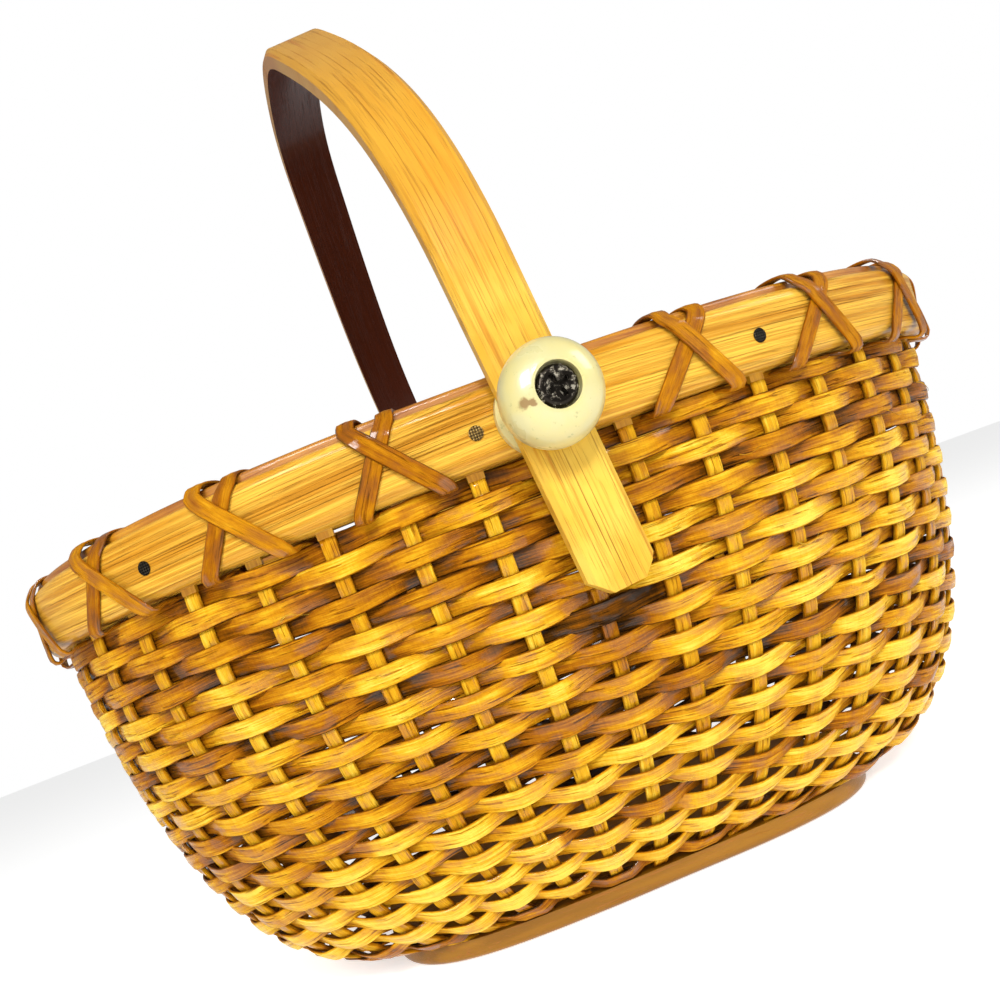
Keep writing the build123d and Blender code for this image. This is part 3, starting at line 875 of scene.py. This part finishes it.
class BASKET_OT_finish_metal(bpy.types.Operator):
    """Gives the screws their dark metal with painted glints, and the small nails of the rim their worn
    metal
    """

    bl_idname = "basket.finish_metal"
    bl_label = "Finish Metal"

    def execute(self, context):
        # The screw's bright colour is a painted glint colour; the nails' bright colour is their lighter
        # metal
        for name, nodes, bright, dark in (
            ("dark_screw", ("front_screw", "back_screw"), (0.42, 0.38, 0.30), (0.02, 0.016, 0.012)),
            ("dark_nail", ("dark_rim_pins",), (0.10, 0.085, 0.06), (0.012, 0.010, 0.008)),
            ("brass_nail", ("brass_rim_pins",), (0.62, 0.42, 0.14), (0.10, 0.06, 0.02)),
        ):
            finish = Finish(name + "_metal")
            place = finish.place()
            x, y, z = finish.parts(place)
            wear_and_glints = finish.noise(place, scale=1.1, detail=4.0, roughness=0.65)
            first = finish.number("SINE", (x + z) * 9.0)
            second = finish.number("SINE", (x - z) * 9.0)
            hatch_and_glints = finish.step(first * second, -0.2, 0.5)
            # On the screws the bright patches set by the noise are painted glints
            if name == "dark_screw":
                hatch_and_glints = finish.step(wear_and_glints, 0.5, 0.62)
            colour = finish.mix(hatch_and_glints * finish.step(wear_and_glints, 0.25, 0.6), dark, bright)
            material = finish.close(
                Base_Color=colour,
                Metallic=0.9,
                Roughness=0.16 + wear_and_glints * 0.2,
                Normal=finish.bump(hatch_and_glints, 0.12),
            )
            for node in nodes:
                dress(node, material)
        return {"FINISHED"}


class BASKET_OT_loosen_fibres(bpy.types.Operator):
    """Adds the few fine fibres that stand off the weave"""

    bl_idname = "basket.loosen_fibres"
    bl_label = "Loosen Fibres"

    def execute(self, context):
        wall = Wall()
        dice = random.Random(12)
        fibres = StripMesh()
        for index in range(context.scene.basket_sizes.loose_fibres):
            stave = dice.uniform(0, STAVES)
            row = dice.uniform(1.0, ROWS - 1.0)
            length = dice.uniform(0.25, 0.7)
            steps = np.linspace(0, 1, 9)
            place = stave + length * steps
            level = row + dice.uniform(-0.5, 0.5) * steps + 0.25 * np.sin(steps * 5 + index)
            middle = wall.read(wall.points, place, level)
            normal = wall.read(wall.normals, place, level)
            up = wall.read(wall.ups, place, level)
            stand = 0.7 + 1.0 * np.sin(steps * math.pi) * dice.uniform(0.5, 1.1)
            middle = middle + normal * stand[:, None]
            half = 0.06 * (1.1 - steps)
            rings = strip_rings(middle, normal, up, half, half)
            fibres.add(rings, np.full(9, dice.uniform(0, 0.3)), steps * 6, index)
        made = fibres.piece("loose_fibres", varnished_cane("loose_fibre_cane", CANE_TONES, gloss=0.5))
        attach(made, "basket")
        return {"FINISHED"}


class BASKET_OT_set_stage(bpy.types.Operator):
    """Lays the pale floor, hangs the soft lights and sets the camera"""

    bl_idname = "basket.set_stage"
    bl_label = "Set Stage"

    def execute(self, context):
        scene = context.scene
        stage = scene.basket_stage
        finish = Finish("pale_floor")
        dust = finish.noise(finish.place(), scale=0.01, detail=2.0)
        colour = finish.mix(dust * 0.2, stage.floor_colour, (0.80, 0.80, 0.79))
        floor_material = finish.close(
            Base_Color=colour, Roughness=0.75, Emission_Color=(1, 1, 1, 1), Emission_Strength=0.6,
        )
        angles = np.linspace(0, math.tau, 65)[:-1]
        ring = [(FLOOR_RADIUS * math.cos(a), FLOOR_RADIUS * math.sin(a), 0.0) for a in angles]
        mesh = bpy.data.meshes.new("floor")
        mesh.from_pydata(ring, [], [list(range(64))])
        mesh.materials.append(floor_material)
        floor = bpy.data.objects.new("floor", mesh)
        scene.collection.objects.link(floor)
        floor.location.z = -0.0002

        room = Finish("pale_room", bpy.data.worlds)
        direction = room.node("ShaderNodeTexCoord", output="Generated")
        height = room.parts(direction)[2]
        soft = stage.room_light - room.step(height, 0.42, 0.7) * (stage.room_light * 0.4)
        seen = room.node("ShaderNodeLightPath", output="Is Camera Ray")
        light = soft + seen * (1.0 - soft)
        glow = room.node("ShaderNodeBackground", inputs={"Color": (1, 1, 1, 1), "Strength": light})
        room.node("ShaderNodeOutputWorld", inputs={"Surface": glow})
        scene.world = room.material

        for name, place, size, power in (
            ("key_light", (-0.25, -0.6, 0.45), 0.25, stage.key_power),
            ("side_light", (0.6, -0.3, 0.4), 0.3, stage.key_power * 0.4),
            ("window_light", (0.0, -0.42, 0.3), 0.06, stage.key_power * 0.25),
        ):
            light = bpy.data.lights.new(name, "AREA")
            light.size = size
            light.energy = power
            lamp = bpy.data.objects.new(name, light)
            scene.collection.objects.link(lamp)
            lamp.location = place
            aim = Vector((0, 0, 0.06)) - Vector(place)
            lamp.rotation_euler = aim.to_track_quat("-Z", "Y").to_euler()

        lens = bpy.data.cameras.new("camera")
        lens.lens = stage.lens
        lens.sensor_width = 36
        lens.clip_start = 0.01
        lens.clip_end = 20
        yaw, pitch, roll, turn = CAMERA_YAW, CAMERA_PITCH, CAMERA_ROLL, PICTURE_TURN
        level_ahead = Vector((math.sin(yaw), math.cos(yaw), 0))
        forward = level_ahead * math.cos(pitch) + Vector((0, 0, math.sin(pitch)))
        right = Vector((math.cos(yaw), -math.sin(yaw), 0))
        above = right.cross(forward)
        level_right = right * math.cos(roll) + above * math.sin(roll)
        level_up = above * math.cos(roll) - right * math.sin(roll)
        image_right = level_right * math.cos(turn) - level_up * math.sin(turn)
        image_up = level_right * math.sin(turn) + level_up * math.cos(turn)
        camera = bpy.data.objects.new("camera", lens)
        scene.collection.objects.link(camera)
        axes = Matrix((image_right, image_up, -forward)).transposed()
        camera.matrix_world = Matrix.Translation(Vector(CAMERA_PLACE) * MM) @ axes.to_4x4()
        right_of_middle, below_middle = [place - LEVEL_PICTURE_MIDDLE for place in PICTURE_CENTRE]
        across = right_of_middle * math.cos(turn) + below_middle * math.sin(turn)
        down = below_middle * math.cos(turn) - right_of_middle * math.sin(turn)
        lens.shift_x = -across / PICTURE_SIDE
        lens.shift_y = down / PICTURE_SIDE
        scene.camera = camera
        scene.view_settings.view_transform = "Standard"
        return {"FINISHED"}


class BASKET_PT_sidebar(bpy.types.Panel):
    """Lists the steps of the basket"""

    bl_label = "Basket"
    bl_idname = "BASKET_PT_sidebar"
    bl_space_type = "VIEW_3D"
    bl_region_type = "UI"
    bl_category = "Basket"

    def draw(self, context):
        layout = self.layout
        scene = context.scene
        for group in (scene.basket_sizes, scene.basket_colours, scene.basket_stage):
            for name in group.__annotations__:
                layout.prop(group, name)
        for operator in OPERATORS:
            layout.operator(operator.bl_idname)


OPERATORS = (
    BASKET_OT_weave_wall,
    BASKET_OT_set_staves,
    BASKET_OT_wind_lashing,
    BASKET_OT_finish_rim,
    BASKET_OT_finish_handle,
    BASKET_OT_finish_base,
    BASKET_OT_finish_knobs,
    BASKET_OT_finish_metal,
    BASKET_OT_loosen_fibres,
    BASKET_OT_set_stage,
)
GROUPS = (BasketSizes, BasketColours, StageSettings)


def register():
    for cls in GROUPS + OPERATORS + (BASKET_PT_sidebar,):
        bpy.utils.register_class(cls)
    bpy.types.Scene.basket_sizes = PointerProperty(type=BasketSizes)
    bpy.types.Scene.basket_colours = PointerProperty(type=BasketColours)
    bpy.types.Scene.basket_stage = PointerProperty(type=StageSettings)


def unregister():
    del bpy.types.Scene.basket_sizes
    del bpy.types.Scene.basket_colours
    del bpy.types.Scene.basket_stage
    for cls in reversed(GROUPS + OPERATORS + (BASKET_PT_sidebar,)):
        bpy.utils.unregister_class(cls)


def main():
    register()
    bpy.ops.basket.weave_wall()
    bpy.ops.basket.set_staves()
    bpy.ops.basket.wind_lashing()
    bpy.ops.basket.finish_rim()
    bpy.ops.basket.finish_handle()
    bpy.ops.basket.finish_base()
    bpy.ops.basket.finish_knobs()
    bpy.ops.basket.finish_metal()
    bpy.ops.basket.loosen_fibres()
    bpy.ops.basket.set_stage()


if __name__ == "__main__":
    main()
